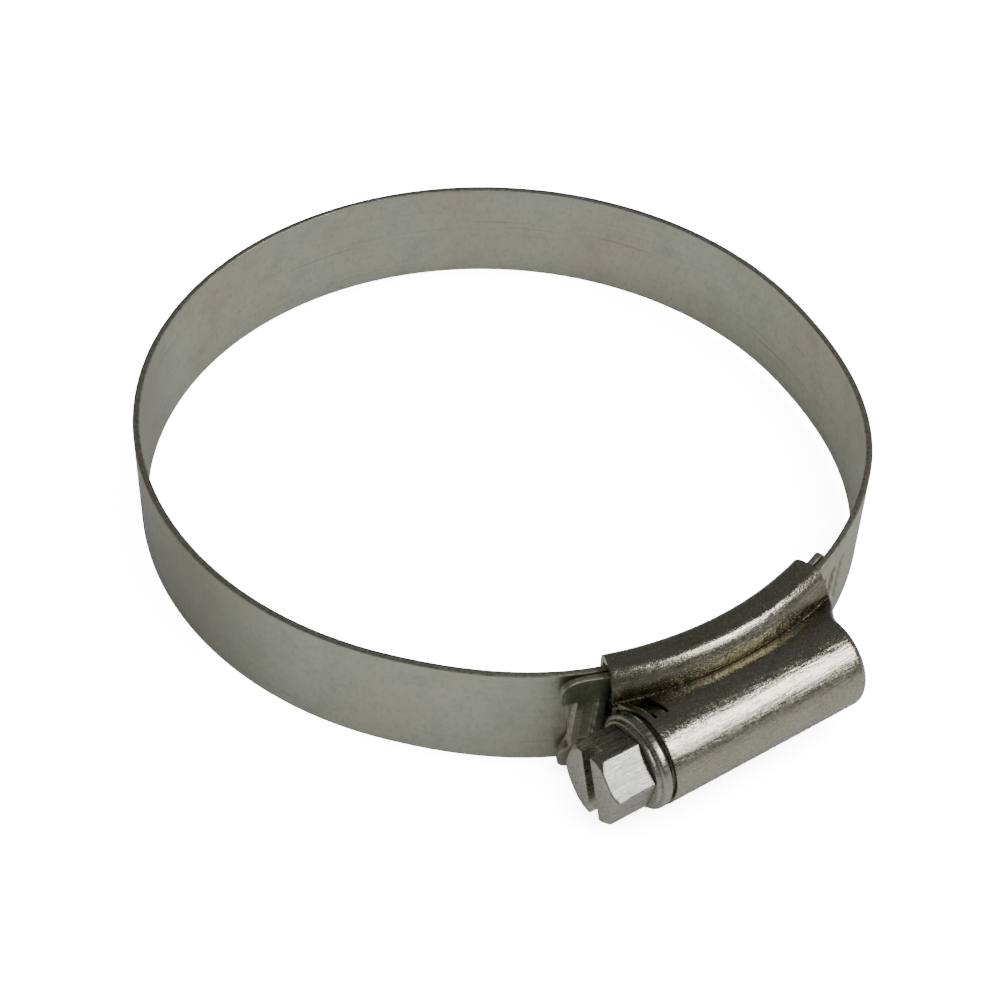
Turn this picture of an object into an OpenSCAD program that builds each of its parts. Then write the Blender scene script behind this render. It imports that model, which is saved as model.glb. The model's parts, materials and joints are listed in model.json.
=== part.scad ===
// Worm-drive hose clamp, fully opened.
// The ring's axis is +Z and its bore's centre is the origin, halfway up the band.
// The housing sits at -Y, the screw lies along X and its head points to -X.
// Places round the ring are given as "a", in degrees clockwise from the housing, seen from above:
// the fixed end leaves the housing at a = 0, and the tongue comes back to it at a = 360.

/* [Band] */
// Inner diameter of the ring, fully opened
bore_d = 72; // [56:0.5:96]
// Width of the band
band_w = 11.5; // [9.5:0.5:14]
// Thickness of the band
band_t = 0.7; // [0.55:0.05:0.9]
// Length of the tongue that shows past the housing
tail_len = 4.4; // [2.5:0.1:8]
// Length of the fixed end that shows past the housing
stub_len = 2.9; // [1.5:0.1:5]
// Distance from one thread groove to the next
pitch = 2; // [1.6:0.1:2.4]
// Length of a thread groove, across the band
groove_len = 6.2; // [5:0.1:7]
// Depth of a thread groove
groove_depth = 0.45; // [0.4:0.01:0.5]
// Corner radius of the band's two ends
end_corner_r = 1.1; // [0.5:0.1:2]
// Turns of the screw that the ring can close by
turns = 6; // [3:0.5:6]

/* [Housing] */
// Length of the saddle, along the screw
saddle_len = 24; // [20:0.5:29]
// Length of the barrel round the screw
barrel_len = 22.6; // [19:0.5:28]
// Thickness of the housing's sheet
sheet_t = 0.7; // [0.5:0.05:0.9]
// Outer corner radius of the folds over the band's edges
fold_r = 1.1; // [0.8:0.1:1.3]
// Open slot between the two folds under the band
fold_slot = 3.2; // [1:0.1:5]

/* [Screw] */
// Radius of the thread's crest
worm_r = 3.9; // [3.6:0.1:4.6]
// Height of the thread
thread_h = 0.7; // [0.6:0.05:0.8]
// Width of the thread at its crest
crest_w = 0.5; // [0.4:0.05:0.6]
// Hexagon of the head, across its flats
hex_af = 7; // [6:0.5:8]
// Length of the hexagon
hex_len = 4.9; // [3.5:0.1:7]
// Radius of the collar
collar_r = 4.7; // [4.4:0.1:5.5]
// Thickness of the collar
collar_t = 1.0; // [0.8:0.1:1.5]
// Width of the screwdriver slot
slot_w = 1.3; // [0.8:0.1:1.6]
// Depth of the screwdriver slot
slot_depth = 1.5; // [1:0.1:2.5]

/* [Clearances] */
// Between the ring's bore and the folds under the band
bore_gap = 0.05; // [0.02:0.01:0.2]
// Between the folds and the fixed end
seat_gap = 0.05; // [0.02:0.01:0.1]
// Between the fixed end and the tongue that slides on it
slide_gap = 0.16; // [0.14:0.01:0.2]
// Between the tongue and the housing over it
lift_gap = 0.15; // [0.1:0.01:0.25]
// Between the band's edges and the folds
side_gap = 0.15; // [0.1:0.01:0.3]
// Radial running fit of the screw in the barrel
run_gap = 0.07; // [0.04:0.01:0.1]
// Between the thread's crest and the bottom of a groove
crest_gap = 0.1; // [0.05:0.01:0.15]
// Between a groove's sides and the thread's root, both sides together
groove_gap = 0.1; // [0.05:0.01:0.3]
// Between the screw's collar and the barrel's end
collar_gap = 0.3; // [0.2:0.05:0.5]
// Between the screw's tip and the barrel's lip
tip_gap = 0.2; // [0.1:0.05:0.4]
// Between two stretches of the band, where it flexes
flex_gap = 0.06; // [0.05:0.01:0.1]

/* [Hidden] */
$fn = 96;
// How far a cutting shape reaches past what it cuts, in mm and in degrees
over = 1;
over_a = 5;

// The layers of sheet and band in the housing, from the bore outwards
bore_r = bore_d / 2;
fold_in = bore_r + bore_gap;
fixed_in = fold_in + sheet_t + seat_gap;
tongue_in = fixed_in + band_t + slide_gap;
tongue_out = tongue_in + band_t;
channel_out = tongue_out + lift_gap;
saddle_out = channel_out + sheet_t;
saddle_half_w = band_w / 2 + side_gap + sheet_t;

// The thread, and the screw's axis, which its mesh with the grooves sets
mesh_depth = groove_depth - crest_gap;
axis_r = tongue_out - mesh_depth + worm_r;
mesh_r = tongue_out - mesh_depth / 2;
groove_step = pitch / mesh_r * 180 / PI;
flank_w = 0.3;
root_w = crest_w + 2 * flank_w;
groove_w = root_w + groove_gap;
helix_angle = atan(pitch / (2 * PI * worm_r));
core_r = worm_r - thread_h;
land_rise = 0.08;
land_r = worm_r + land_rise;
barrel_in = land_r + run_gap;
barrel_out = barrel_in + sheet_t;

// Places along the screw. The barrel's middle sits a little towards the head
barrel_shift = 0.5;
barrel_x0 = -barrel_len / 2 - barrel_shift;
barrel_x1 = barrel_len / 2 - barrel_shift;
collar_x1 = barrel_x0 - collar_gap;
collar_x0 = collar_x1 - collar_t;
hex_x0 = collar_x0 - hex_len;
lip_t = 0.7;
tip_x = barrel_x1 - lip_t - tip_gap;
// The neck that the stake tab reaches into
neck_w = 1;
neck_x0 = barrel_x0 + neck_w;
neck_depth = 0.2;
neck_r = core_r - neck_depth;
land_len = 1.4;

// Places round the ring
saddle_half_a = asin(saddle_len / 2 / tongue_in);
stub_a = saddle_half_a + stub_len / fixed_in * 180 / PI;
tongue_end_a = 360 + saddle_half_a + tail_len / tongue_out * 180 / PI;
travel_a = turns * groove_step;
hinge_first_a = 51.5;
hinge_step_a = (360 - 2 * hinge_first_a) / 3;
hinge_a = [for (i = [0:3]) hinge_first_a + i * hinge_step_a];
flex_half_a = flex_gap / 2 / (bore_r + band_t / 2) * 180 / PI;
// The fixed end steps down to the ring's own radius from step_a0 to step_a1
clear_a = 1;
step_a0 = saddle_half_a + clear_a;
step_a1 = hinge_first_a - clear_a;
// The ring rises to the tongue's radius from rise_a0 to rise_a1, which clears the stub when closed
rise_span_a = 42;
rise_a1 = 360 - stub_a - travel_a - clear_a;
rise_a0 = rise_a1 - rise_span_a;
facet_a = 1.2;

function smooth(u) = u * u * (3 - 2 * u);
function share(a, a0, a1) = smooth(min(1, max(0, (a - a0) / (a1 - a0))));
// The band's inner radius at each place round the ring, from the stub to the tongue's end
function band_r(a) = bore_r + (fixed_in - bore_r) * (1 - share(a, step_a0, step_a1))
    + (tongue_in - bore_r) * share(a, rise_a0, rise_a1);
function on_ring(a, r) = [-r * sin(a), -r * cos(a)];
function steps(a0, a1) = let (n = ceil((a1 - a0) / facet_a)) [for (i = [0:n]) a0 + (a1 - a0) * i / n];

// A stretch of band of constant radius
module band_arc(a0, a1, r) {
    rotate([0, 0, -90 - a1])
        rotate_extrude(angle = a1 - a0)
            translate([r, -band_w / 2]) square([band_t, band_w]);
}

// A stretch of band whose radius changes along it, in flat facets that touch the curve at their middles
module band_strip(a0, a1) {
    places = steps(a0, a1);
    last = len(places) - 1;
    swell = 1 / cos((a1 - a0) / last / 2);
    inner = [for (i = [0:last]) on_ring(places[i], band_r(places[i]) * swell)];
    outer = [for (i = [last:-1:0]) on_ring(places[i], (band_r(places[i]) + band_t) * swell)];
    translate([0, 0, -band_w / 2]) linear_extrude(band_w) polygon(concat(inner, outer));
}

// What rounding takes off both corners of a band end at place a; way is 1 where the end faces larger a
module end_corners(a, r, way) {
    rotate([0, 0, -90 - a])
        for (side = [-1, 1])
            translate([r - over, way * end_corner_r, side * (band_w / 2 - end_corner_r)])
                rotate([0, 90, 0])
                    difference() {
                        translate([side > 0 ? -2 * end_corner_r : 0, way > 0 ? -2 * end_corner_r : 0, 0])
                            cube([2 * end_corner_r, 2 * end_corner_r, band_t + 2 * over]);
                        translate([0, 0, -over]) cylinder(h = band_t + 4 * over, r = end_corner_r);
                    }
}

// The fixed end, with its stub past the housing and the step down to the ring's own radius
module band_fixed_end() color("#8f918c") {
    difference() {
        band_strip(-stub_a, hinge_a[0] - flex_half_a);
        end_corners(-stub_a, fixed_in, -1);
    }
}

module band_left() color("#8f918c") band_arc(hinge_a[0] + flex_half_a, hinge_a[1] - flex_half_a, bore_r);
module band_back() color("#8f918c") band_arc(hinge_a[1] + flex_half_a, hinge_a[2] - flex_half_a, bore_r);
module band_right() color("#8f918c") band_strip(hinge_a[2] + flex_half_a, hinge_a[3] - flex_half_a);

// One thread groove, pressed across the band at place a
module groove(a) {
    rotate([0, 0, -90 - a])
        translate([tongue_out - groove_depth + over, 0, 0])
            rotate([-helix_angle, 0, 0])
                cube([2 * over, groove_w, groove_len], center = true);
}

// The tongue: it rises over the stub, and its threaded length passes under the screw
module band_tongue() color("#8f918c") {
    difference() {
        band_strip(hinge_a[3] + flex_half_a, tongue_end_a);
        end_corners(tongue_end_a, tongue_in, 1);
        // the last groove that the screw reaches, and those from there to the tongue's end
        first = ceil((saddle_half_a / 2 + travel_a) / -groove_step);
        last = floor((tongue_end_a - 360) / groove_step);
        for (k = [first:last]) groove(360 + k * groove_step);
    }
}

// A bar along X at the screw's axis, from x0 to x1
module on_axis(x0, x1, r) {
    translate([x0, -axis_r, 0]) rotate([0, 90, 0]) cylinder(h = x1 - x0, r = r);
}

// The saddle's section: a rounded box round both layers of band
module saddle_section() {
    h = saddle_half_w - fold_r;
    r0 = fold_in + fold_r;
    r1 = saddle_out - fold_r;
    translate([fold_in, -h]) square([saddle_out - fold_in, 2 * h]);
    translate([r0, -saddle_half_w]) square([r1 - r0, 2 * saddle_half_w]);
    for (x = [r0, r1], y = [-h, h]) translate([x, y]) circle(r = fold_r);
}

// The room for both layers of band, and the slot between the two folds under it
module channel_section() {
    half_w = band_w / 2 + side_gap;
    room_in = fixed_in - seat_gap;
    translate([room_in, -half_w]) square([channel_out - room_in, 2 * half_w]);
    translate([fold_in - over, -fold_slot / 2]) square([channel_out - fold_in, fold_slot]);
}

// A wedge of the ring, as long as the saddle and spare_a longer at each end
module round_saddle(spare_a) {
    half_a = saddle_half_a + spare_a;
    rotate([0, 0, -90 - half_a]) rotate_extrude(angle = 2 * half_a) children();
}

// The worm's room between the housing's walls, from the screw's axis down to the band
module worm_room(half_w) {
    difference() {
        translate([-saddle_len / 2 - over, -axis_r, -half_w])
            cube([saddle_len / 2 + over + barrel_x1 - lip_t, axis_r, 2 * half_w]);
        cylinder(h = 4 * band_w, r = tongue_in, center = true);
    }
}

// The housing: one folded sheet, a barrel round the screw on a saddle round the band
module pressed_housing() color("#a3a394") {
    wall_half = barrel_out - sheet_t / 2;
    wall_len = min(barrel_len, saddle_len) - 2 * barrel_shift;
    slit_w = 0.3;
    slit_len = 1.9;
    slit_y = -axis_r + 0.2;
    tab_gap = 0.15;
    difference() {
        union() {
            round_saddle(0) saddle_section();
            on_axis(barrel_x0, barrel_x1, barrel_out);
            translate([-wall_len / 2, -axis_r, -wall_half])
                cube([wall_len, axis_r - fixed_in, 2 * wall_half]);
        }
        round_saddle(over_a) channel_section();
        on_axis(barrel_x0 - over, barrel_x1 - lip_t, barrel_in);
        on_axis(barrel_x0 - over, barrel_x1 + over, core_r);
        worm_room(wall_half - sheet_t);
        // the slits on both sides of the stake tab
        for (x = [neck_x0 - slit_w, neck_x0 + neck_w])
            translate([x, slit_y, 0]) cube([slit_w, slit_len, barrel_out + over]);
    }
    // the stake tab, pressed into the screw's neck
    tab_low = neck_r + tab_gap;
    tab_high = barrel_out - sheet_t / 2;
    translate([neck_x0 + tab_gap, slit_y + tab_gap, tab_low])
        cube([neck_w - 2 * tab_gap, slit_len - 2 * tab_gap, tab_high - tab_low]);
}

// The threaded core, made along +Z: columns of points round it, each crossing every turn of the thread
// at its four edges. The thread runs out to nothing at z0 and z1, where the points close into rings.
module threaded_core(z0, z1) {
    columns = 30;
    run_out = 1.3;
    edges = [[-root_w / 2, 0], [-crest_w / 2, 1], [crest_w / 2, 1], [root_w / 2, 0]];
    first_turn = floor(z0 / pitch) - 1;
    rows = 4 * (ceil(z1 / pitch) - first_turn + 1);
    function height(i, j) = (first_turn + floor(j / 4) + i / columns) * pitch + edges[j % 4][0];
    function radius(z, rise) = core_r + rise * thread_h * min(1, (z - z0) / run_out, (z1 - z) / run_out);
    function point(i, z, rise) =
        let (r = radius(z, rise), turn = 360 * i / columns) [r * cos(turn), r * sin(turn), z];
    function id(i, j) = i == columns ? id(0, min(j + 4, rows - 1))
        : height(i, j) <= z0 ? i : height(i, j) >= z1 ? columns + i : 2 * columns + i * rows + j;
    ring = [for (i = [0:columns - 1]) i];
    turns_up = [for (i = ring, j = [0:rows - 1]) point(i, height(i, j), edges[j % 4][1])];
    points = concat([for (i = ring) point(i, z0, 0)], [for (i = ring) point(i, z1, 0)], turns_up);
    quads = [for (i = ring, j = [0:rows - 2]) [id(i, j), id(i, j + 1), id(i + 1, j), id(i + 1, j + 1)]];
    sides = [for (q = quads, t = [[q[0], q[1], q[2]], [q[2], q[1], q[3]]])
        if (t[0] != t[1] && t[1] != t[2] && t[0] != t[2]) t];
    ends = [ring, [for (i = ring) 2 * columns - 1 - i]];
    polyhedron(points = points, faces = concat(ends, sides), convexity = 10);
}

// The head, made along +Z from its end: a hexagon with a chamfered end and a screwdriver slot
module head() {
    hex_turn = 13;
    slot_turn = 163;
    corner_r = hex_af / 2 / cos(30);
    chamfer = 0.7;
    chamfer_slope = 1.1;
    difference() {
        intersection() {
            rotate([0, 0, hex_turn]) cylinder(h = hex_len, r = corner_r, $fn = 6);
            union() {
                cylinder(h = chamfer, r1 = corner_r - chamfer_slope * chamfer, r2 = corner_r);
                translate([0, 0, chamfer]) cylinder(h = hex_len, r = hex_af);
            }
        }
        rotate([0, 0, slot_turn]) cube([3 * hex_af, slot_w, 2 * slot_depth], center = true);
    }
}

// The screw, along X: head, collar, neck, thread and two plain lands
module worm_screw() color("#b9b9ae") {
    neck_x1 = neck_x0 + neck_w;
    translate([0, -axis_r, 0]) rotate([0, 90, 0]) {
        translate([0, 0, hex_x0]) head();
        translate([0, 0, collar_x0]) cylinder(h = collar_t, r = collar_r);
        translate([0, 0, collar_x1]) cylinder(h = neck_x0 - collar_x1, r = land_r);
        translate([0, 0, collar_x1]) cylinder(h = neck_x1 + over - collar_x1, r = neck_r);
        // a quarter turn sets the thread between the grooves
        rotate([0, 0, 90]) threaded_core(neck_x1, tip_x - land_len / 2);
        translate([0, 0, tip_x - land_len]) cylinder(h = land_len, r = land_r);
    }
}

pressed_housing();
band_fixed_end();
band_left();
band_back();
band_right();
band_tongue();
worm_screw();
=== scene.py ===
# %% [markdown]
# A worm-drive hose clamp, lying fully opened on a pale floor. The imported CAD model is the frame:
# it says where each piece is and how it moves. Its solids could be shown as they are, with better
# materials. Here each one gets a finer surface in its place, because rolled edges, pressed folds
# and sheared ends are what catches the light on a real clamp, and the plain solids lack them.
# %% Load the frame
import json
import math

import bpy
import numpy as np
from mathutils import Matrix, Vector


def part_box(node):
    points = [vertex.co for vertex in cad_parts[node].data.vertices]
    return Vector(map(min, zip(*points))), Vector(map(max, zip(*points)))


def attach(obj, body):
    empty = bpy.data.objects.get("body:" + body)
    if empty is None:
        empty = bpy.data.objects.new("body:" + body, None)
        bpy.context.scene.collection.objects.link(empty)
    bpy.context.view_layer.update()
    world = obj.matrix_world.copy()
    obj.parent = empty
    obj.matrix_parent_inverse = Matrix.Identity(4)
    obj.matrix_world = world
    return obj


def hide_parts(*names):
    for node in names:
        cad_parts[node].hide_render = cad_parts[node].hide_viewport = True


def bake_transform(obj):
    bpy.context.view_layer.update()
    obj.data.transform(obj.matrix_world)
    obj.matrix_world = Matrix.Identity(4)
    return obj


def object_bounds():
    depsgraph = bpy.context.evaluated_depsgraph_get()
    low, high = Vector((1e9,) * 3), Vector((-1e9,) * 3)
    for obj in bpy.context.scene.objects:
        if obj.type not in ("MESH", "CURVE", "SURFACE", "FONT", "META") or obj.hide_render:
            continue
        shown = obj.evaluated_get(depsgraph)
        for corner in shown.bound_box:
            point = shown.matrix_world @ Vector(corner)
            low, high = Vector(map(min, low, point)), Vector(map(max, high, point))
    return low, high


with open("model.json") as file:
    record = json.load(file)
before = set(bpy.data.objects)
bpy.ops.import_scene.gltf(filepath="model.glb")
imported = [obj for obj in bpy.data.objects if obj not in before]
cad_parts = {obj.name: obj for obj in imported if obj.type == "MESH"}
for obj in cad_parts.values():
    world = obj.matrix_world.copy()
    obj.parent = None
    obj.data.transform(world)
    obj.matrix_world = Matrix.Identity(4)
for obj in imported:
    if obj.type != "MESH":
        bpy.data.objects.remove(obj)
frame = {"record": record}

MM = 0.001
cad_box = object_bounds()
print("CAD box in mm:", [round(c / MM, 1) for corner in cad_box for c in corner])

# %% [markdown]
# The finished surfaces have to land on the CAD solids. Their sizes could be typed in again, but
# copies drift apart, so nearly all are read from the frame. Places round the ring are called `a`:
# degrees clockwise from the housing, seen from above. The fixed end leaves the housing at a = 0,
# and the tongue comes back to it at a = 360.
# %% Sizes of the ring
record = frame["record"]
joints = {j["name"]: j for j in record["behaviour"]["joints"]}
flex_joints = ["flex_left_front", "flex_left_back", "flex_right_back", "flex_right_front"]
ratio = record["behaviour"]["couplings"][0]["ratio"]
travel_a = len(flex_joints) * ratio * joints["screw_turn"]["range_deg"][1]

bore_r = record["mounts"][0]["dims"]["r_mm"] * MM
back_low, back_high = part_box("band_back")
band_t = back_high[1] - bore_r
band_w = back_high[2] - back_low[2]
fixed_low, fixed_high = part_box("band_fixed_end")
fixed_out = -fixed_low[1]
tongue_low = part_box("band_tongue")[0]
tongue_out = -tongue_low[1]
stub_a = math.degrees(math.asin(fixed_high[0] / fixed_out))
tongue_end_a = 360 + math.degrees(math.asin(-tongue_low[0] / tongue_out))
hinge_at = [joints[name]["pos_m"] for name in flex_joints]
hinge_a = [math.degrees(math.atan2(-x, -y)) % 360 for x, y, _ in hinge_at]
print(f"band {band_w / MM:.1f} x {band_t / MM:.2f} mm, hinges at", [round(a, 1) for a in hinge_a])

# %% Sizes of the housing and the screw
sheet_t = 0.7 * MM
lift_gap = 0.15 * MM
near_step, far_step = 0.7 * MM, 1.7 * MM
housing_low, housing_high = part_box("pressed_housing")
screw_low, screw_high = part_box("worm_screw")
axis_r = -joints["screw_turn"]["pos_m"][1]
barrel_out = -housing_low[1] - axis_r
saddle_out = tongue_out + lift_gap + sheet_t
saddle_half_w = housing_high[2]
saddle_half_a = math.degrees(math.asin(housing_high[0] / saddle_out))
barrel_x0, barrel_x1 = housing_low[0] + near_step, housing_high[0] - far_step
collar_r = (screw_high[1] - screw_low[1]) / 2
print(f"screw axis {axis_r / MM:.2f} mm out, barrel radius {barrel_out / MM:.2f} mm")
print(f"housing over {saddle_half_a:.1f} degrees to each side")

# %% [markdown]
# A surface can be pushed into shape by hand, or bent from simple bodies with modifiers. Here each
# is a grid of points worked out with numpy, because all the pieces follow the same few radii, and
# a formula keeps them exactly on those. One helper turns any number of grids into one mesh, with
# smooth shading that breaks at real edges and a UV map in metres.
# %% Grids into meshes
def smoothstep(x):
    """0 below 0, 1 above 1, and 3x^2 - 2x^3 between them."""
    x = np.clip(x, 0, 1)
    return x * x * (3 - 2 * x)


def grid_faces(rows, columns, wrap, start=0):
    """Quads between the neighbours of a rows x columns grid. With wrap, the last column joins the first."""
    i, j = np.meshgrid(np.arange(rows - 1), np.arange(columns if wrap else columns - 1), indexing="ij")
    right = (j + 1) % columns
    here, below = i * columns, (i + 1) * columns
    quads = np.stack([here + j, here + right, below + right, below + j], -1)
    return (start + quads.reshape(-1, 4)).tolist()


def mesh_object(name, points, faces, uv):
    """A smoothly shaded mesh object, linked to the scene, with uv given for each point."""
    mesh = bpy.data.meshes.new(name)
    mesh.from_pydata(points, [], faces)
    layer = mesh.uv_layers.new(name="sheet")
    corners = np.empty(len(mesh.loops), int)
    mesh.loops.foreach_get("vertex_index", corners)
    layer.data.foreach_set("uv", uv[corners].ravel())
    mesh.polygons.foreach_set("use_smooth", np.ones(len(mesh.polygons), bool))
    made = bpy.data.objects.new(name, mesh)
    bpy.context.scene.collection.objects.link(made)
    return made


def build(name, grids, sharp=35):
    """A piece from grids: (points, uv, wrap, caps), where caps closes the first and last rows. Edges that
    turn by more than sharp degrees are shaded as edges."""
    points, faces, uvs, start = [], [], [], 0
    for grid, uv, wrap, caps in grids:
        rows, columns = grid.shape[:2]
        faces += grid_faces(rows, columns, wrap, start)
        if caps:
            faces.append(list(range(start + columns - 1, start - 1, -1)))
            faces.append(list(range(start + (rows - 1) * columns, start + rows * columns)))
        points.append(grid.reshape(-1, 3))
        uvs.append(uv.reshape(-1, 2))
        start += rows * columns
    piece = mesh_object(name, np.concatenate(points), faces, np.concatenate(uvs))
    piece.data.set_sharp_from_angle(angle=math.radians(sharp))
    piece.data.update()
    print(f"{name}: {len(piece.data.polygons)} faces")
    return piece


# %% [markdown]
# The camera looks down at the ring from the head's side. A wide lens close by would swell the near
# edge. A long lens from further off keeps the ring's true shape, so that was chosen. The view is
# turned a little about the line of sight, as if the clamp had been put down by hand.
# %% Camera
camera_data = bpy.data.cameras.new("camera")
camera_data.lens, camera_data.sensor_width = 79.05, 36
camera_data.shift_x, camera_data.shift_y = 0.0008, -0.0157
camera_data.clip_start, camera_data.clip_end = 0.01, 20
camera = bpy.data.objects.new("camera", camera_data)
bpy.context.scene.collection.objects.link(camera)
bpy.context.scene.camera = camera

azimuth, elevation, roll = map(math.radians, (-35.8, 43.8, 2.57))
target = Vector((0.00045, -0.00055, -band_w / 2 - 0.0001))
camera_distance = 0.2316
back = Vector((math.sin(azimuth) * math.cos(elevation), -math.cos(azimuth) * math.cos(elevation),
               math.sin(elevation)))
turn = back.to_track_quat("Z", "Y").to_matrix().to_4x4() @ Matrix.Rotation(roll, 4, "Z")
camera.matrix_world = Matrix.Translation(target + back * camera_distance) @ turn
print(f"camera {camera_distance / MM:.0f} mm away, lens {camera_data.lens:.1f} mm")

# %% [markdown]
# Everything is zinc-plated steel, and each finish comes from how the steel was worked. A metal can
# be one grey with one roughness, but that reads as plastic. Real plating varies in colour, and its
# tiny scratches blur what it mirrors. Each finish below is a metal whose colour, roughness and
# bumps follow noise. Wiring that by hand takes many clicks, so a few helpers keep it to a few lines.
# %% Node helpers
def node(tree, kind, inputs=None, **settings):
    """A new node of that kind. inputs maps a socket's name or number to a value or another node's output."""
    made = tree.nodes.new(kind)
    for key, value in settings.items():
        setattr(made, key, value)
    for key, value in (inputs or {}).items():
        if isinstance(value, bpy.types.NodeSocket):
            tree.links.new(value, made.inputs[key])
        else:
            made.inputs[key].default_value = value
    return made


def noise(tree, where, scale, stretch=(1, 1, 1), detail=3.0, rough=0.55):
    """Noise at that scale per metre, drawn out along the axes where stretch is small. It varies about 0.5."""
    placed = node(tree, "ShaderNodeMapping", {"Vector": where, "Scale": [scale * s for s in stretch]})
    inputs = {"Vector": placed.outputs[0], "Scale": 1.0, "Detail": detail, "Roughness": rough}
    return node(tree, "ShaderNodeTexNoise", inputs).outputs[0]


def ranged(tree, value, low, high, to_low=0.0, to_high=1.0):
    """value from low..high onto to_low..to_high, held at the ends."""
    inputs = {"Value": value, "From Min": low, "From Max": high, "To Min": to_low, "To Max": to_high}
    return node(tree, "ShaderNodeMapRange", inputs).outputs[0]


def blended(tree, factor, first, second):
    """first where factor is 0 and second where it is 1, as colours."""
    made = node(tree, "ShaderNodeMix", data_type="RGBA")
    for socket, value in (("Factor_Float", factor), ("A_Color", first), ("B_Color", second)):
        target_socket = next(s for s in made.inputs if s.identifier == socket)
        if isinstance(value, bpy.types.NodeSocket):
            tree.links.new(value, target_socket)
        else:
            target_socket.default_value = value if socket == "Factor_Float" else (*value, 1)
    return next(s for s in made.outputs if s.identifier == "Result_Color")


def summed(tree, *values):
    """The sum of several values."""
    total = values[0]
    for value in values[1:]:
        total = node(tree, "ShaderNodeMath", {0: total, 1: value}, operation="ADD").outputs[0]
    return total


def metal(name):
    """An empty metal material: (material, its node tree, its shader)."""
    material = bpy.data.materials.new(name)
    material.use_nodes = True
    shader = material.node_tree.nodes["Principled BSDF"]
    shader.inputs["Metallic"].default_value = 1.0
    return material, material.node_tree, shader


def bump(tree, shader, height, strength, distance):
    """Bumps of that height on the shader."""
    made = node(tree, "ShaderNodeBump", {"Height": height, "Strength": strength, "Distance": distance})
    tree.links.new(made.outputs[0], shader.inputs["Normal"])


# %% [markdown]
# The band is cold-rolled strip under a satin plating. It has cool and warm patches, fine lines that
# the rolls left along it, and scratches from handling. An image of worn metal could be wrapped
# round it. Noise was chosen, because it never repeats, and stretched along the UV map it runs round
# the ring as the rolling does.
# %% Rolled band
def rolled_band():
    """Satin zinc: patches, hair-fine scratches along the strip, and a faint grain. The ring's -X side,
    away from the lamps, gets painted shade: its colour is darker there."""
    material, tree, shader = metal("zinc on rolled band")
    coords = node(tree, "ShaderNodeTexCoord")
    uv, place = coords.outputs["UV"], coords.outputs["Object"]
    leftward = {0: place, 1: (-1, 0.25, 0)}
    to_left = node(tree, "ShaderNodeVectorMath", leftward, operation="DOT_PRODUCT").outputs[1]
    patches = ranged(tree, noise(tree, place, 75, detail=5), 0.38, 0.62)
    clouds = ranged(tree, noise(tree, place, 300, detail=6, rough=0.65), 0.3, 0.7)
    speckle = noise(tree, place, 2200, (1, 1, 0.6), detail=3, rough=0.6)
    lines = noise(tree, uv, 5200, (0.012, 1, 1), detail=4, rough=0.7)
    scratches = ranged(tree, noise(tree, uv, 2400, (0.016, 1, 1), detail=2), 0.63, 0.7)
    # Painted shade: the colour darkens towards the ring's -X side, away from the lamps.
    painted_side_shade = ranged(tree, to_left, 0.0285, 0.036, 0, 0.55)
    base = blended(tree, patches, (0.50, 0.545, 0.46), (0.555, 0.535, 0.405))
    base = blended(tree, ranged(tree, clouds, 0, 1, 0, 0.42), base, (0.62, 0.64, 0.57))
    base = blended(tree, ranged(tree, clouds, 0.5, 0, 0, 0.25), base, (0.36, 0.37, 0.3))
    base = blended(tree, ranged(tree, speckle, 0.5, 0.68, 0, 0.3), base, (0.36, 0.375, 0.3))
    base = blended(tree, ranged(tree, scratches, 0, 1, 0, 0.38), base, (0.3, 0.3, 0.27))
    base = blended(tree, painted_side_shade, base, (0.2, 0.19, 0.16))
    tree.links.new(base, shader.inputs["Base Color"])
    rough = summed(tree, ranged(tree, lines, 0.3, 0.7, 0.26, 0.4), ranged(tree, patches, 0, 1, 0, 0.08))
    tree.links.new(rough, shader.inputs["Roughness"])
    bump(tree, shader, summed(tree, lines, ranged(tree, clouds, 0, 1, 0, 0.8)), 0.25, 0.00002)
    return material


# %% [markdown]
# The strip was slit from a wide sheet, so its edges are torn, not smooth. They could share the
# band's finish. They get their own, because a torn face scatters light, and its dark grain with
# bright specks draws the outline of the whole ring.
# %% Sheared edges
def sheared_edge():
    """The band's cut edges: torn and dark, with bright specks where the plating caught the burr."""
    material, tree, shader = metal("zinc on sheared edge")
    place = node(tree, "ShaderNodeTexCoord").outputs["Object"]
    torn = noise(tree, place, 2600, (1, 1, 0.3), detail=4, rough=0.7)
    specks = ranged(tree, noise(tree, place, 2400, detail=4, rough=0.7), 0.56, 0.7)
    base = blended(tree, ranged(tree, torn, 0.35, 0.65), (0.47, 0.475, 0.385), (0.62, 0.62, 0.51))
    base = blended(tree, specks, base, (0.62, 0.62, 0.54))
    tree.links.new(base, shader.inputs["Base Color"])
    tree.links.new(ranged(tree, specks, 0, 1, 0.5, 0.28), shader.inputs["Roughness"])
    bump(tree, shader, torn, 0.7, 0.00008)
    return material
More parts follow.
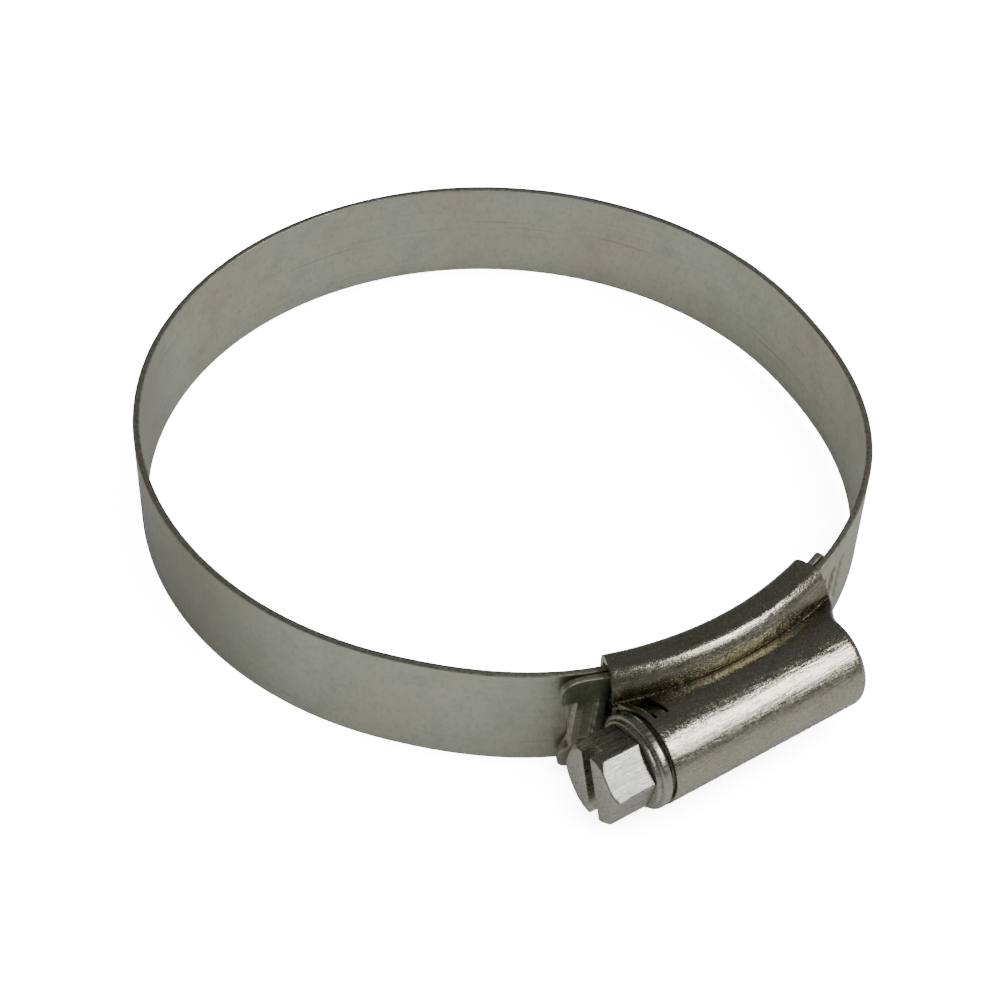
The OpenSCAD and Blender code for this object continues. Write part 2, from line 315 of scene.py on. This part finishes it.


# %% [markdown]
# The housing is pressed from brighter sheet. Stretching roughens it, so its highlights break into
# glitter. The upper crease gets painted shade: its colour turns dark brown, standing in for the shade
# in the valley. It could be painted on. Here it is a range of the distance from the crease, which the
# UV map holds: the crease is one row of the sheet, so the painted shade follows it exactly.
# %% Pressed sheet
def pressed_sheet():
    """Bright zinc on pressed sheet: a grain that breaks the highlights, streaks along the barrel, and
    painted shade: a dark brown colour in the upper crease that stands in for the shade there."""
    material, tree, shader = metal("zinc on pressed sheet")
    coords = node(tree, "ShaderNodeTexCoord")
    uv, place = coords.outputs["UV"], coords.outputs["Object"]
    across = node(tree, "ShaderNodeSeparateXYZ", {"Vector": uv}).outputs[1]
    grain = noise(tree, place, 3000, detail=5, rough=0.7)
    peel = noise(tree, place, 900, detail=3)
    streaks = noise(tree, uv, 3200, (0.09, 1, 1), detail=4, rough=0.65)
    tint = ranged(tree, noise(tree, place, 260, detail=3), 0.35, 0.65)
    base = blended(tree, tint, (0.44, 0.44, 0.355), (0.41, 0.395, 0.295))
    base = blended(tree, ranged(tree, grain, 0.42, 0.62, 0, 0.4), base, (0.66, 0.66, 0.56))
    base = blended(tree, ranged(tree, streaks, 0.55, 0.7, 0, 0.4), base, (0.3, 0.3, 0.23))
    # Painted shade: the colour darkens towards dark brown near the upper crease, standing in for shade in the
    # valley.
    from_crease = node(tree, "ShaderNodeMath", {0: across, 1: crease_v}, operation="SUBTRACT").outputs[0]
    distance = node(tree, "ShaderNodeMath", {0: from_crease}, operation="ABSOLUTE").outputs[0]
    ragged = summed(tree, distance, ranged(tree, peel, 0.3, 0.7, 0, 0.0006))
    painted_crease_shade = ranged(tree, ragged, 0.003, 0.001, 0, 0.85)
    base = blended(tree, painted_crease_shade, base, (0.12, 0.11, 0.065))
    tree.links.new(base, shader.inputs["Base Color"])
    rough = ranged(tree, summed(tree, grain, streaks), 0.7, 1.3, 0.17, 0.34)
    tree.links.new(rough, shader.inputs["Roughness"])
    swells, drawn = ranged(tree, peel, 0.3, 0.7, 0, 1.4), ranged(tree, streaks, 0.3, 0.7, 0, 1.2)
    bump(tree, shader, summed(tree, grain, swells, drawn), 0.45, 0.00003)
    return material


# %% [markdown]
# The screw is bar stock, milled into a hexagon and knocked about in a barrel of others. Its dents
# could be sculpted. They are less than a tenth of a millimetre deep, so noise in the bumps and the
# colour shows them just as well and costs no faces.
# %% Turned screw
def turned_screw():
    """Bright zinc on a milled screw: fine lines along its axis, and small dark knocks."""
    material, tree, shader = metal("zinc on screw")
    place = node(tree, "ShaderNodeTexCoord").outputs["Object"]
    milled = noise(tree, place, 4200, (0.07, 1, 1), detail=4, rough=0.75)
    knocks = noise(tree, place, 1700, detail=4, rough=0.65)
    base = blended(tree, ranged(tree, milled, 0.4, 0.6), (0.42, 0.42, 0.355), (0.6, 0.6, 0.52))
    base = blended(tree, ranged(tree, knocks, 0.55, 0.68, 0, 0.5), base, (0.25, 0.25, 0.2))
    tree.links.new(base, shader.inputs["Base Color"])
    tree.links.new(ranged(tree, milled, 0.35, 0.65, 0.2, 0.42), shader.inputs["Roughness"])
    bump(tree, shader, summed(tree, milled, ranged(tree, knocks, 0.3, 0.7, 0, 0.3)), 0.5, 0.00003)
    return material


def plate(piece, material):
    """Gives the piece its material."""
    piece.data.materials.append(material)


band_zinc, edge_zinc, screw_zinc = rolled_band(), sheared_edge(), turned_screw()
print("finishes:", [material.name for material in (band_zinc, edge_zinc, screw_zinc)])


# %% [markdown]
# The band is one strip of spring steel. It starts a little high inside the housing, steps down to
# the ring's own radius, and rises again into the tongue that lies over the fixed end. Its path
# could be drawn as a curve with control points. One law of radius was chosen, because the CAD
# solids follow the same law, and a point's place on the ring then gives its radius at once.
# %% The band's course
fixed_in, tongue_in = fixed_out - band_t, tongue_out - band_t
step_a0, step_a1 = saddle_half_a + 1, hinge_a[0] - 1
rise_span_a = 42
rise_a1 = 360 - stub_a - travel_a - 1
rise_a0 = rise_a1 - rise_span_a


def band_r(a):
    """The band's inner radius: the bore's, plus what is left of the step, plus what there is of the rise."""
    step = (fixed_in - bore_r) * (1 - smoothstep((a - step_a0) / (step_a1 - step_a0)))
    rise = (tongue_in - bore_r) * smoothstep((a - rise_a0) / (rise_a1 - rise_a0))
    return bore_r + step + rise


def on_ring(a, r, z=0.0):
    """The point at place a and radius r: (-r sin a, -r cos a, z)."""
    a = np.radians(a)
    return np.stack(np.broadcast_arrays(-r * np.sin(a), -r * np.cos(a), z), -1)


print(f"the step ends at {step_a1:.1f} degrees, the rise runs from {rise_a0:.1f} to {rise_a1:.1f}")

# %% [markdown]
# The screw drives the tongue through grooves pressed into its outer face. They could be cut out
# with Boolean modifiers, as the CAD does. A formula for their depth was chosen instead: taken off
# the strip's outer face, it gives the soft sides and ends of pressed metal, and a clean mesh.
# %% The thread grooves
turns_of_travel = 6
groove_step = travel_a / turns_of_travel
groove_w, groove_half_len, groove_depth, groove_edge = 1.2 * MM, 3.1 * MM, 0.45 * MM, 0.16 * MM
lead_angle = 4.7
helix_slope = math.tan(math.radians(lead_angle))
groove_first = math.ceil(-(saddle_half_a / 2 + travel_a) / groove_step)
groove_last = math.floor((tongue_end_a - 360) / groove_step)
print(f"{groove_last - groove_first + 1} grooves, one every {groove_step:.2f} degrees")


def groove_cut(a, z):
    """How deep the grooves are at place a and height z: each is a slanted trough with soft sides and ends."""
    spacing = np.radians(groove_step) * tongue_out
    along = np.radians(a - 360) * tongue_out + helix_slope * z
    nearest = np.clip(np.round(along / spacing), groove_first, groove_last)
    off = np.abs(along - nearest * spacing)
    side = smoothstep((groove_w / 2 - off) / groove_edge)
    end = smoothstep((groove_half_len - np.abs(z)) / (2.5 * groove_edge))
    return groove_depth * side * end


# %% [markdown]
# The strip's section is a rectangle whose sheared edges are slightly rounded. A curve with a bevel
# profile could carry it round the ring. A grid was chosen, because the ends differ: the fixed end
# has round corners, and the tongue was sheared through a groove, which left its middle short and
# its two corners sprung outwards.
# %% The strip
edge_r = 0.14 * MM
corner_r = 1.1 * MM
sprung_len, sprung_out, cut_back = 2.4 * MM, 0.4 * MM, 0.95 * MM
trough_z, trough_half, trough_edge = -0.3 * MM, 3.7 * MM, 1.7 * MM


def section(outer_columns=72, inner_columns=16):
    """The strip's section as (outward 0..1, height, distance round it): flat faces and rounded edges."""
    flat = band_w / 2 - edge_r
    corner = np.radians(np.array([22.5, 45, 67.5]))
    t = edge_r / band_t
    rising, falling = np.sin(corner), np.cos(corner)
    up = np.linspace(-flat, flat, outer_columns)
    down = np.linspace(flat, -flat, inner_columns)
    out = np.concatenate([np.ones_like(up), 1 - t + t * falling, [1 - t, t], t - t * rising,
                          np.zeros_like(down), t - t * falling, [t, 1 - t], 1 - t + t * rising])
    z = np.concatenate([up, flat + edge_r * rising, [band_w / 2] * 2, flat + edge_r * falling,
                        down, -flat - edge_r * rising, [-band_w / 2] * 2, -flat - edge_r * falling])
    round_it = np.concatenate([[0], np.cumsum(np.hypot(np.diff(out) * band_t, np.diff(z)))])
    return out, z, round_it


def places(a0, a1, step):
    """Places from a0 to a1, about step degrees apart."""
    return np.linspace(a0, a1, max(2, round((a1 - a0) / step) + 1))


def strip(name, a, first_end=False, tongue_end=False):
    """The band over the places a: the section carried along the course, grooved on its outer face.
    A free end draws its height in along a quarter circle of corner_r. At the tongue's end the middle is
    cut back along the ring, and the two corners beside it move outwards."""
    out, z, round_it = section()
    along = np.radians(a) * (band_r(a) + band_t / 2)
    half = np.full_like(along, band_w / 2)
    for from_end, is_free in ((along - along[0], first_end), (along[-1] - along, tongue_end)):
        if is_free:
            near = np.clip(corner_r - from_end, 0, corner_r)
            half -= corner_r - np.sqrt(corner_r ** 2 - near ** 2)
    height = z[None, :] * (half / (band_w / 2))[:, None]
    place, sprung = np.broadcast_to(a[:, None], height.shape), 0
    if tongue_end:
        near_end = smoothstep(1 - (along[-1] - along) / sprung_len)[:, None]
        trough = smoothstep((trough_half - np.abs(height - trough_z)) / trough_edge)
        place = place - np.degrees(near_end * trough * cut_back / tongue_out)
        sprung = near_end * (1 - trough) * sprung_out
    on_outer_face = out > 0.99
    outward = band_t * out[None, :] - np.where(on_outer_face, groove_cut(place, height), 0) + sprung
    grid = on_ring(place, band_r(a)[:, None] + outward, height)
    uv = np.stack(np.broadcast_arrays(along[:, None], round_it[None, :]), -1)
    piece = build(name, [(grid, uv, True, True)])
    normals = np.empty((len(piece.data.polygons), 3))
    piece.data.polygons.foreach_get("normal", normals.ravel())
    faces_up_or_down = np.abs(normals[:, 2]) > 0.55
    piece.data.polygons.foreach_set("material_index", faces_up_or_down.astype(int))
    return piece


# %% [markdown]
# The ring flexes when the screw closes it. The strip could be one long piece on a chain of bones.
# Four pieces were chosen, because the CAD ring turns at four hinges. They meet halfway between the
# hinges.
# %% The band in four pieces
middles = [(hinge_a[i] + hinge_a[i + 1]) / 2 for i in range(3)]
threaded_a = 360 + (groove_first - 0.8) * groove_step
plain_step, fine_step = 0.7, 0.15
from_free_end = np.array([0, 0.05, 0.15, 0.3, 0.5, 0.7, 0.9, 1.1, 1.3, 1.5, 1.7])
left_front = np.concatenate([-stub_a + from_free_end, places(-stub_a + 2.4, middles[0], plain_step)])
right_front = np.concatenate([places(middles[2], threaded_a, plain_step),
                              places(threaded_a + fine_step, tongue_end_a - 1.8, fine_step),
                              tongue_end_a - from_free_end[::-1]])
left_back, right_back = (places(middles[i], middles[i + 1], plain_step) for i in range(2))
stretches = [
    ("band_left_front", left_front, ("housing", "ring_left"), (23, 80), ["band_fixed_end", "band_left"]),
    ("band_left_back", left_back, ("ring_left", "ring_back"), (middles[0] + 3, middles[1] - 3),
     ["band_back"]),
    ("band_right_back", right_back, ("ring_back", "ring_right"), (middles[1] + 3, middles[2] - 3),
     ["band_right"]),
    ("band_right_front", right_front, ("ring_right", "tongue"), (middles[2] + 3, rise_a1 - 0.5),
     ["band_tongue"]),
]
for name, course, bodies, flexes, nodes in stretches:
    piece = strip(name, course, name == "band_left_front", name == "band_right_front")
    plate(piece, band_zinc)
    piece.data.materials.append(edge_zinc)
    start, end = (on_ring(a, bore_r + band_t / 2) for a in flexes)
    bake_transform(piece)
    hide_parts(*nodes)

# %% [markdown]
# The housing is one pressed sheet. Its section starts under the band, folds up round the band's
# edge, rolls over it, and runs from a crease into the barrel that holds the screw. It could be
# made from a box and a cylinder joined together, but the joint would show. A section drawn as
# arcs and cubic curves was chosen, because pressed metal turns in exactly such soft bends.
# %% The housing's section
barrel_mid = barrel_out - sheet_t / 2
fold_mid = fixed_in - 0.05 * MM - sheet_t
wall_z = saddle_half_w - sheet_t / 2
fold_r = 0.78 * MM
slot_half = 1.6 * MM
lip_r, lip_z = 39.52 * MM, 4.15 * MM
crease_r, crease_z = 39.42 * MM, 3.6 * MM
wall_top = 38.0 * MM


def arc(center_r, center_z, radius, start, end, count):
    """Points (r, z) on an arc. 0 degrees faces away from the ring's axis, and 90 degrees faces up."""
    angle = np.radians(np.linspace(start, end, count))
    return np.stack([center_r + radius * np.cos(angle), center_z + radius * np.sin(angle)], -1)


def curve(p0, p1, m0, m1, t):
    """The cubic from p0 to p1 that leaves along m0 and arrives along m1, at t from 0 to 1."""
    return ((2 * t ** 3 - 3 * t ** 2 + 1) * p0 + (t ** 3 - 2 * t ** 2 + t) * m0
            + (3 * t ** 2 - 2 * t ** 3) * p1 + (t ** 3 - t ** 2) * m1)


def saddle_rows():
    """Half of the section round the band, from the slot's edge to the crease, as points (r, z)."""
    under = np.linspace([fold_mid, slot_half], [fold_mid, wall_z - fold_r], 10)
    fold = arc(fold_mid + fold_r, wall_z - fold_r, fold_r, 180, 90, 8)
    wall = np.linspace([fold_mid + fold_r, wall_z], [wall_top, wall_z], 5)
    t = np.linspace(0, 1, 16)[:, None]
    start, end = np.array([wall_top, wall_z]), np.array([lip_r, lip_z])
    roll = curve(start, end, np.array([2.3, 0.0]) * MM, np.array([0.75, -1.9]) * MM, t)
    crease = np.array([crease_r, crease_z])
    t = np.linspace(0, 1, 9)[:, None]
    dip = curve(end, crease, np.array([0.2, -0.5]) * MM, np.array([0.1, -0.5]) * MM, t)
    return np.concatenate([under[:-1], fold[:-1], wall[:-1], roll[:-1], dip])


section_rows = saddle_rows()
print(f"{len(section_rows)} points from the slot's edge to the crease")

# %% [markdown]
# The part round the band is curved with the ring, and the barrel is straight. A flat sheet could be
# bent with deform modifiers, but two bends that meet are hard to steer. Here each part follows its
# own formula, and a flank joins them point by point. The barrel's columns crowd together at the
# stake tab near the mouth, and at the far end they turn inwards, where the sheet is crimped.
# %% The barrel's columns
neck_x = np.array([-10.8, -9.8]) * MM
slit_w = 0.3 * MM
crimp_r, hole_r = 0.55 * MM, 3.62 * MM
slit_x = [neck_x[0] - slit_w, neck_x[0], neck_x[1], neck_x[1] + slit_w]
straight_x = np.unique(np.concatenate([
    np.linspace(barrel_x0 + 0.02 * MM, slit_x[0], 4), slit_x, np.linspace(slit_x[1], slit_x[2], 7),
    np.linspace(slit_x[3], barrel_x1 - 0.9 * MM, 62)]).round(7))
end_turn = np.radians(np.linspace(0, 90, 9))[1:]
crimp_x = barrel_x1 - sheet_t / 2 - crimp_r + crimp_r * np.sin(end_turn)
crimp_rho = barrel_mid - crimp_r * (1 - np.cos(end_turn))
barrel_x = np.concatenate([straight_x, crimp_x, [crimp_x[-1] + 0.01 * MM]])
barrel_rho = np.concatenate([np.full(len(straight_x), barrel_mid), crimp_rho, [hole_r]])
print(f"barrel from {barrel_x[0] / MM:.1f} to {barrel_x[-1] / MM:.1f} mm in {len(barrel_x)} columns")

# %% The housing's sheet
flank_turn = math.radians(84)
rib_at, rib_w, rib_h = 0.42 * MM, 0.2 * MM, 0.17 * MM
tab_from, tab_depth = 0.45, 0.85 * MM


def housing_sheet():
    """Half of the sheet's middle surface, and how many rows are saddle and flank: the saddle turned about
    the ring's axis, a flank that leaves the crease and meets the barrel's circle along its tangent, and
    the barrel. A low rib runs along the flank beside the crease."""
    saddle_a = np.interp(barrel_x, [barrel_x0, barrel_x1], [saddle_half_a, -saddle_half_a])
    saddle = np.stack([on_ring(saddle_a, r, z) for r, z in section_rows])
    turns = np.linspace(flank_turn, math.pi, 40)
    barrel = np.stack([np.stack([barrel_x, -axis_r + barrel_rho * math.cos(turn),
                                 barrel_rho * math.sin(turn)], -1) for turn in turns])
    low, high = saddle[-1], barrel[0]
    length = np.linalg.norm(high - low, axis=-1, keepdims=True)
    leave = length * np.array([0, -1.0, 0.05])
    arrive = length * np.array([0, -math.sin(flank_turn), math.cos(flank_turn)])
    steps = np.concatenate([np.linspace(0, 0.3, 18), np.linspace(0.3, 1, 20)[1:]])
    flank = np.stack([curve(low, high, leave, arrive, t) for t in steps])
    from_rib = (steps[:, None] * length[..., 0] - rib_at) / rib_w
    rib = np.exp(-from_rib ** 2) * smoothstep(steps / 0.02)[:, None]
    flank += (rib * rib_h)[..., None] * np.array([0, -0.45, 0.9])
    return np.concatenate([saddle, flank[1:-1], barrel]), len(saddle), len(flank)


half, saddle_count, flank_count = housing_sheet()
lower = half[:-1] * [1, 1, -1]
tab_top, tab_foot = saddle_count + int(tab_from * flank_count), saddle_count + flank_count
slit_columns = [int(np.argmin(np.abs(barrel_x - x))) for x in slit_x]
pressed_in = np.linspace(1, 0, tab_foot - tab_top + 1)[:, None]
half[tab_top:tab_foot + 1, slit_columns[1]:slit_columns[2] + 1, 2] -= tab_depth * pressed_in
sheet = np.concatenate([half, lower[::-1]])
print(f"sheet of {sheet.shape[0]} x {sheet.shape[1]} points")


# %% [markdown]
# So far the sheet has no thickness. A second grid could be worked out for its inner face. The
# Solidify modifier was chosen, because it also closes the rims of the hole round the stake tab, the
# little tongue that is pressed into the screw's neck to hold it. A Bevel then rounds every cut edge.
# %% Thicken the sheet
def length_across(grid):
    """The distance across the sheet to each row, along the grid's middle column."""
    middle = grid[:, grid.shape[1] // 2]
    return np.concatenate([[0], np.cumsum(np.linalg.norm(np.diff(middle, axis=0), axis=-1))])


def open_sheet(name, grid, holes):
    """A mesh object from one open grid, less the faces in the holes. A hole is (first row, last row, first
    column, last column)."""
    rows, columns = grid.shape[:2]
    keep = np.ones((rows - 1, columns - 1), bool)
    for r0, r1, c0, c1 in holes:
        keep[r0:r1, c0:c1] = False
    faces = np.array(grid_faces(rows, columns, False))[keep.ravel()]
    used, faces = np.unique(faces, return_inverse=True)
    uv = np.stack(np.broadcast_arrays(grid[..., 0], length_across(grid)[:, None]), -1)
    return mesh_object(name, grid.reshape(-1, 3)[used], faces.reshape(-1, 4).tolist(),
                       uv.reshape(-1, 2)[used])


left, tab_left, tab_right, right = slit_columns
cut_from = tab_top - 2
housing = open_sheet("housing", sheet, [(cut_from, tab_foot, left, tab_left),
                                        (cut_from, tab_foot, tab_right, right),
                                        (cut_from, tab_top, tab_left, tab_right)])
thicken = housing.modifiers.new("thicken", "SOLIDIFY")
thicken.thickness, thicken.offset, thicken.use_even_offset = sheet_t, 0, True
soften = housing.modifiers.new("soften the cut edges", "BEVEL")
soften.width, soften.segments = 0.09 * MM, 2
soften.limit_method, soften.angle_limit = "ANGLE", math.radians(50)
crease_v = float(length_across(sheet)[saddle_count - 1])
print(f"the crease is {crease_v / MM:.1f} mm across the sheet")
plate(housing, pressed_sheet())
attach(housing, "housing")
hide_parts("pressed_housing")

# %% [markdown]
# The screw is a turned bar with a thread rolled on it. A Screw modifier could wind the thread, but
# it would have to be joined to the plain parts. Here the whole bar is one surface turned about the
# axis, whose radius also follows the thread, so it closes without a joint. The thread is a hair
# lower than the CAD's, and the neck longer, to stay clear of the pressed sheet.
# %% The turned part
head_x0, tip_x = screw_low[0], screw_high[0]
pitch, crest_r, core_r = 2 * MM, 3.78 * MM, 3.2 * MM
crest_w, root_w, run_out_len = 0.5 * MM, 1.1 * MM, 1.3 * MM
land_r, neck_r, ring_r = 3.98 * MM, 3.0 * MM, 4.28 * MM
collar_x = np.array([-13.1, -12.1]) * MM
ring_x0 = collar_x[0] - 0.45 * MM
thread_x = np.array([neck_x[1], tip_x - 1.0 * MM])
columns = 120
round_way = -1  # the points go round this way so that the faces point outwards
spin = round_way * np.radians(np.arange(columns) * 360 / columns)


def thread_r(x, psi):
    """The thread's radius at x and angle psi: a ridge every pitch, flat on top, leaning with the turn."""
    off = np.abs((x / pitch + psi / (2 * np.pi)) % 1 - 0.5) * pitch
    rise = np.clip((root_w / 2 - off) / ((root_w - crest_w) / 2), 0, 1)
    run_out = np.clip(np.minimum(x - thread_x[0], thread_x[1] - x) / run_out_len, 0, 1)
    return core_r + (crest_r - core_r) * rise * run_out


def rounded(x, r, previous, following, radius, count=4):
    """The profile's corner at (x, r), replaced by a parabola towards its neighbours."""
    corner, a, b = (np.array(p) for p in ((x, r), previous, following))
    start = corner + (a - corner) / np.linalg.norm(a - corner) * radius
    end = corner + (b - corner) / np.linalg.norm(b - corner) * radius
    t = np.linspace(0, 1, count)[:, None]
    return (1 - t) ** 2 * start + 2 * t * (1 - t) * corner + t ** 2 * end


corners = [(ring_x0, 2.5 * MM), (ring_x0, ring_r), (collar_x[0], ring_r), (collar_x[0], collar_r),
           (collar_x[1], collar_r), (collar_x[1], land_r), (neck_x[0] - 0.45 * MM, land_r),
           (neck_x[0] - 0.35 * MM, neck_r), (neck_x[1] - 0.1 * MM, neck_r), (neck_x[1], core_r)]
radii = np.array([0.16, 0.05, 0.3, 0.3, 0.1, 0.12, 0.08, 0.08]) * MM
bends = [rounded(*corners[i], corners[i - 1], corners[i + 1], radius) for i, radius in enumerate(radii, 1)]
front = np.concatenate([[corners[0]], *bends])
tip = np.array([(thread_x[1], core_r), (thread_x[1], land_r - 0.1 * MM), (thread_x[1] + 0.1 * MM, land_r),
                (tip_x - 0.5 * MM, land_r), (tip_x, land_r - 0.5 * MM)])
row_step = 0.1 * MM
thread_rows = np.arange(thread_x[0], thread_x[1], row_step)
x_rows = np.concatenate([front[:, 0], thread_rows, tip[:, 0]])
r_rows = np.concatenate([np.repeat(front[:, 1:], columns, 1), thread_r(thread_rows[:, None], spin[None, :]),
                         np.repeat(tip[:, 1:], columns, 1)])


def about_axis(x, r, psi):
    """The point at x along the screw, at radius r. psi turns from the outward side (-Y) towards +Z."""
    return np.stack(np.broadcast_arrays(x, -axis_r - r * np.cos(psi), r * np.sin(psi)), -1)


turned = about_axis(x_rows[:, None], r_rows, spin[None, :])
mean_r = 4 * MM
turned_uv = np.stack(np.broadcast_arrays(x_rows[:, None], spin[None, :] * mean_r), -1)
print(f"turned part: {len(x_rows)} rows of {columns} points")

# %% [markdown]
# The head is a 7 mm hexagon, turned off to a cone at its end and slotted for a screwdriver. It could
# be cut from a cylinder with Booleans and bevelled. Cut corners often shade badly, so it is built
# from rounded sections instead: one stack below the slot, and one on each side of it.
# %% The milled head
apothem = 3.5 * MM
hexagon_turn = -13
flat_turns = np.radians(np.arange(6) * 60 + hexagon_turn)
slot_turn = math.radians(107)
slot_half_w, slot_depth = 0.67 * MM, 1.5 * MM
cone_r0, cone_slope = 3.6 * MM, 1.0
end_edge_r, head_round = 0.11 * MM, 20 * MM
crispness = 90


def convex(center, planes, x, end_x, count=288):
    """One rounded section of the head at x, drawn round center: the nearest along each ray of the planes
    (direction, distance) and the end's cone. Near end_x everything draws in along a quarter circle. The
    distances combine as 1 / (the sum of their inverses to a high power) ** (1 / power), so corners round."""
    near = np.clip(end_edge_r - (x - end_x), 0, end_edge_r)
    drawn_in = end_edge_r - math.sqrt(end_edge_r ** 2 - near ** 2)
    omega = round_way * np.radians(np.arange(count) * 360 / count)
    ray = np.stack([np.cos(omega), np.sin(omega)], -1)
    total = np.zeros(count)
    for turn, distance in planes:
        normal = np.array([math.cos(turn), math.sin(turn)])
        total += np.maximum(ray @ normal / (distance - drawn_in - normal @ center), 1e-9) ** crispness
    cone_r = cone_r0 + cone_slope * (x - end_x) - drawn_in
    along = ray @ center
    reach = -along + np.sqrt(along ** 2 + cone_r ** 2 - center @ center)
    total += (1 / reach) ** crispness
    r = total ** (-1 / crispness)
    flat = center + r[:, None] * ray
    return np.stack([np.full(count, x), -axis_r - flat[:, 0], flat[:, 1]], -1)


def stack(center, planes, levels, end_x):
    """A grid of rounded sections, and its UV map: along the screw and round it."""
    grid = np.stack([convex(np.array(center), planes, x, end_x) for x in levels])
    round_it = np.linspace(0, head_round, grid.shape[1])
    uv = np.stack(np.broadcast_arrays(grid[..., 0], round_it[None, :]), -1)
    return grid, uv, True, True


hexagon = [(turn, apothem) for turn in flat_turns]
across_slot = slot_turn + math.pi / 2
side_middle = 1.9 * MM
below_slot = head_x0 + slot_depth + np.array([0, 0.02, 1, 2, 2.9]) * MM
beside_slot = head_x0 + MM * np.array([0, 0.008, 0.02, 0.04, 0.07, 0.11, 0.2, 0.3, 0.4, 0.5, 0.6, 0.7,
                                       0.8, 0.95, 1.2, 1.5])
grids = [(turned, turned_uv, True, True), stack((0, 0), hexagon, below_slot, head_x0)]
for side in (0, math.pi):
    middle = side_middle * np.array([math.cos(across_slot + side), math.sin(across_slot + side)])
    slot_wall = (across_slot + side + math.pi, -slot_half_w)
    grids.append(stack(middle, hexagon + [slot_wall], beside_slot, head_x0))
screw = build("screw", grids, sharp=40)
plate(screw, screw_zinc)
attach(screw, "screw")
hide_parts("worm_screw")

# %% [markdown]
# The clamp lies on white paper that curves up behind it. One sheet could do for everything, but
# metal that mirrors bright paper has no dark side, and loses its shape. So there are two. The
# camera sees a white one that isn't mirrored, and the metal mirrors a dark one in the same place.
# %% Paper
floor_z = cad_box[0][2] - 0.0001


def paper(name, profile, reflectance, seen_by_camera, columns=96):
    """Paper turned about the ring's axis from the profile (r, z). The camera sees it or the metal mirrors
    it, not both."""
    turn = np.radians(np.arange(columns) * 360 / columns)
    r, z = profile[:, 0, None], profile[:, 1, None]
    grid = np.stack(np.broadcast_arrays(r * np.cos(turn), r * np.sin(turn), z), -1)
    faces = [f[::-1] for f in grid_faces(*grid.shape[:2], True)] + [list(range(columns))]
    mesh = bpy.data.meshes.new(name)
    mesh.from_pydata(grid.reshape(-1, 3), [], faces)
    material = bpy.data.materials.new(name)
    material.use_nodes = True
    shader = material.node_tree.nodes["Principled BSDF"]
    shader.inputs["Base Color"].default_value = (reflectance, reflectance, reflectance, 1)
    shader.inputs["Roughness"].default_value = 0.9
    shader.inputs["Specular IOR Level"].default_value = 0.0
    mesh.materials.append(material)
    made = bpy.data.objects.new(name, mesh)
    made.visible_camera = made.visible_diffuse = seen_by_camera
    made.visible_glossy = not seen_by_camera
    made.visible_shadow = False
    bpy.context.scene.collection.objects.link(made)


sweep_turn = np.radians(np.linspace(0, 90, 13))
sweep_r = 0.8
bowl = np.stack([1.4 + sweep_r * np.sin(sweep_turn), floor_z + sweep_r * (1 - np.cos(sweep_turn))], -1)
flat = np.array([[0.0005, floor_z], [0.3, floor_z], [1.0, floor_z]])
paper("white paper sweep", np.concatenate([flat, bowl, [[2.2, 3.0]]]), 0.92, True)
paper("mirrored paper", np.concatenate([flat, [[3.0, floor_z]]]) - [0, 0.0002], 0.031, False)
print(f"papers at {floor_z / MM:.1f} mm")

# %% [markdown]
# A bright streak runs along the barrel, and one side of the hexagon is lit. Many small lamps could
# draw such streaks. One softbox beside the head was chosen, because a single streak tells the eye
# that the barrel is round, and a weaker one below it softens the streak's lower edge. A wide lamp
# overhead lights the paper and the shadows, and is kept out of the reflections.
# %% Lamps
def softbox(name, azimuth, elevation, distance, width, height, watts, in_reflections=True):
    """A rectangular lamp that faces the object from that direction."""
    data = bpy.data.lights.new(name, "AREA")
    data.shape, data.size, data.size_y, data.energy = "RECTANGLE", width, height, watts
    lamp = bpy.data.objects.new(name, data)
    a, e = math.radians(azimuth), math.radians(elevation)
    towards = Vector((math.cos(a) * math.cos(e), math.sin(a) * math.cos(e), math.sin(e)))
    facing = towards.to_track_quat("Z", "Y").to_matrix().to_4x4()
    lamp.matrix_world = Matrix.Translation(towards * distance) @ facing
    lamp.visible_glossy = in_reflections
    bpy.context.scene.collection.objects.link(lamp)
    return lamp


softbox("key", -48, 43, 0.9, 0.13, 0.2, 2.6)
softbox("key, lower edge", -62, 31, 0.9, 0.14, 0.12, 0.6)
softbox("overhead fill", -80, 72, 1.5, 2.6, 2.6, 1050, in_reflections=False)

# %% [markdown]
# The room is what the metal mirrors where there is no lamp. A picture of a real room could light the
# clamp, but its windows and walls would show in every curve. An even dark grey was chosen, so that
# the zinc has quiet mid tones between the streak and the dark paper.
# %% Room
room_grey = 0.105
world = bpy.data.worlds.new("room")
world.use_nodes = True
world.node_tree.nodes["Background"].inputs["Color"].default_value = (room_grey, room_grey, room_grey, 1)
bpy.context.scene.world = world
print("room grey", room_grey)
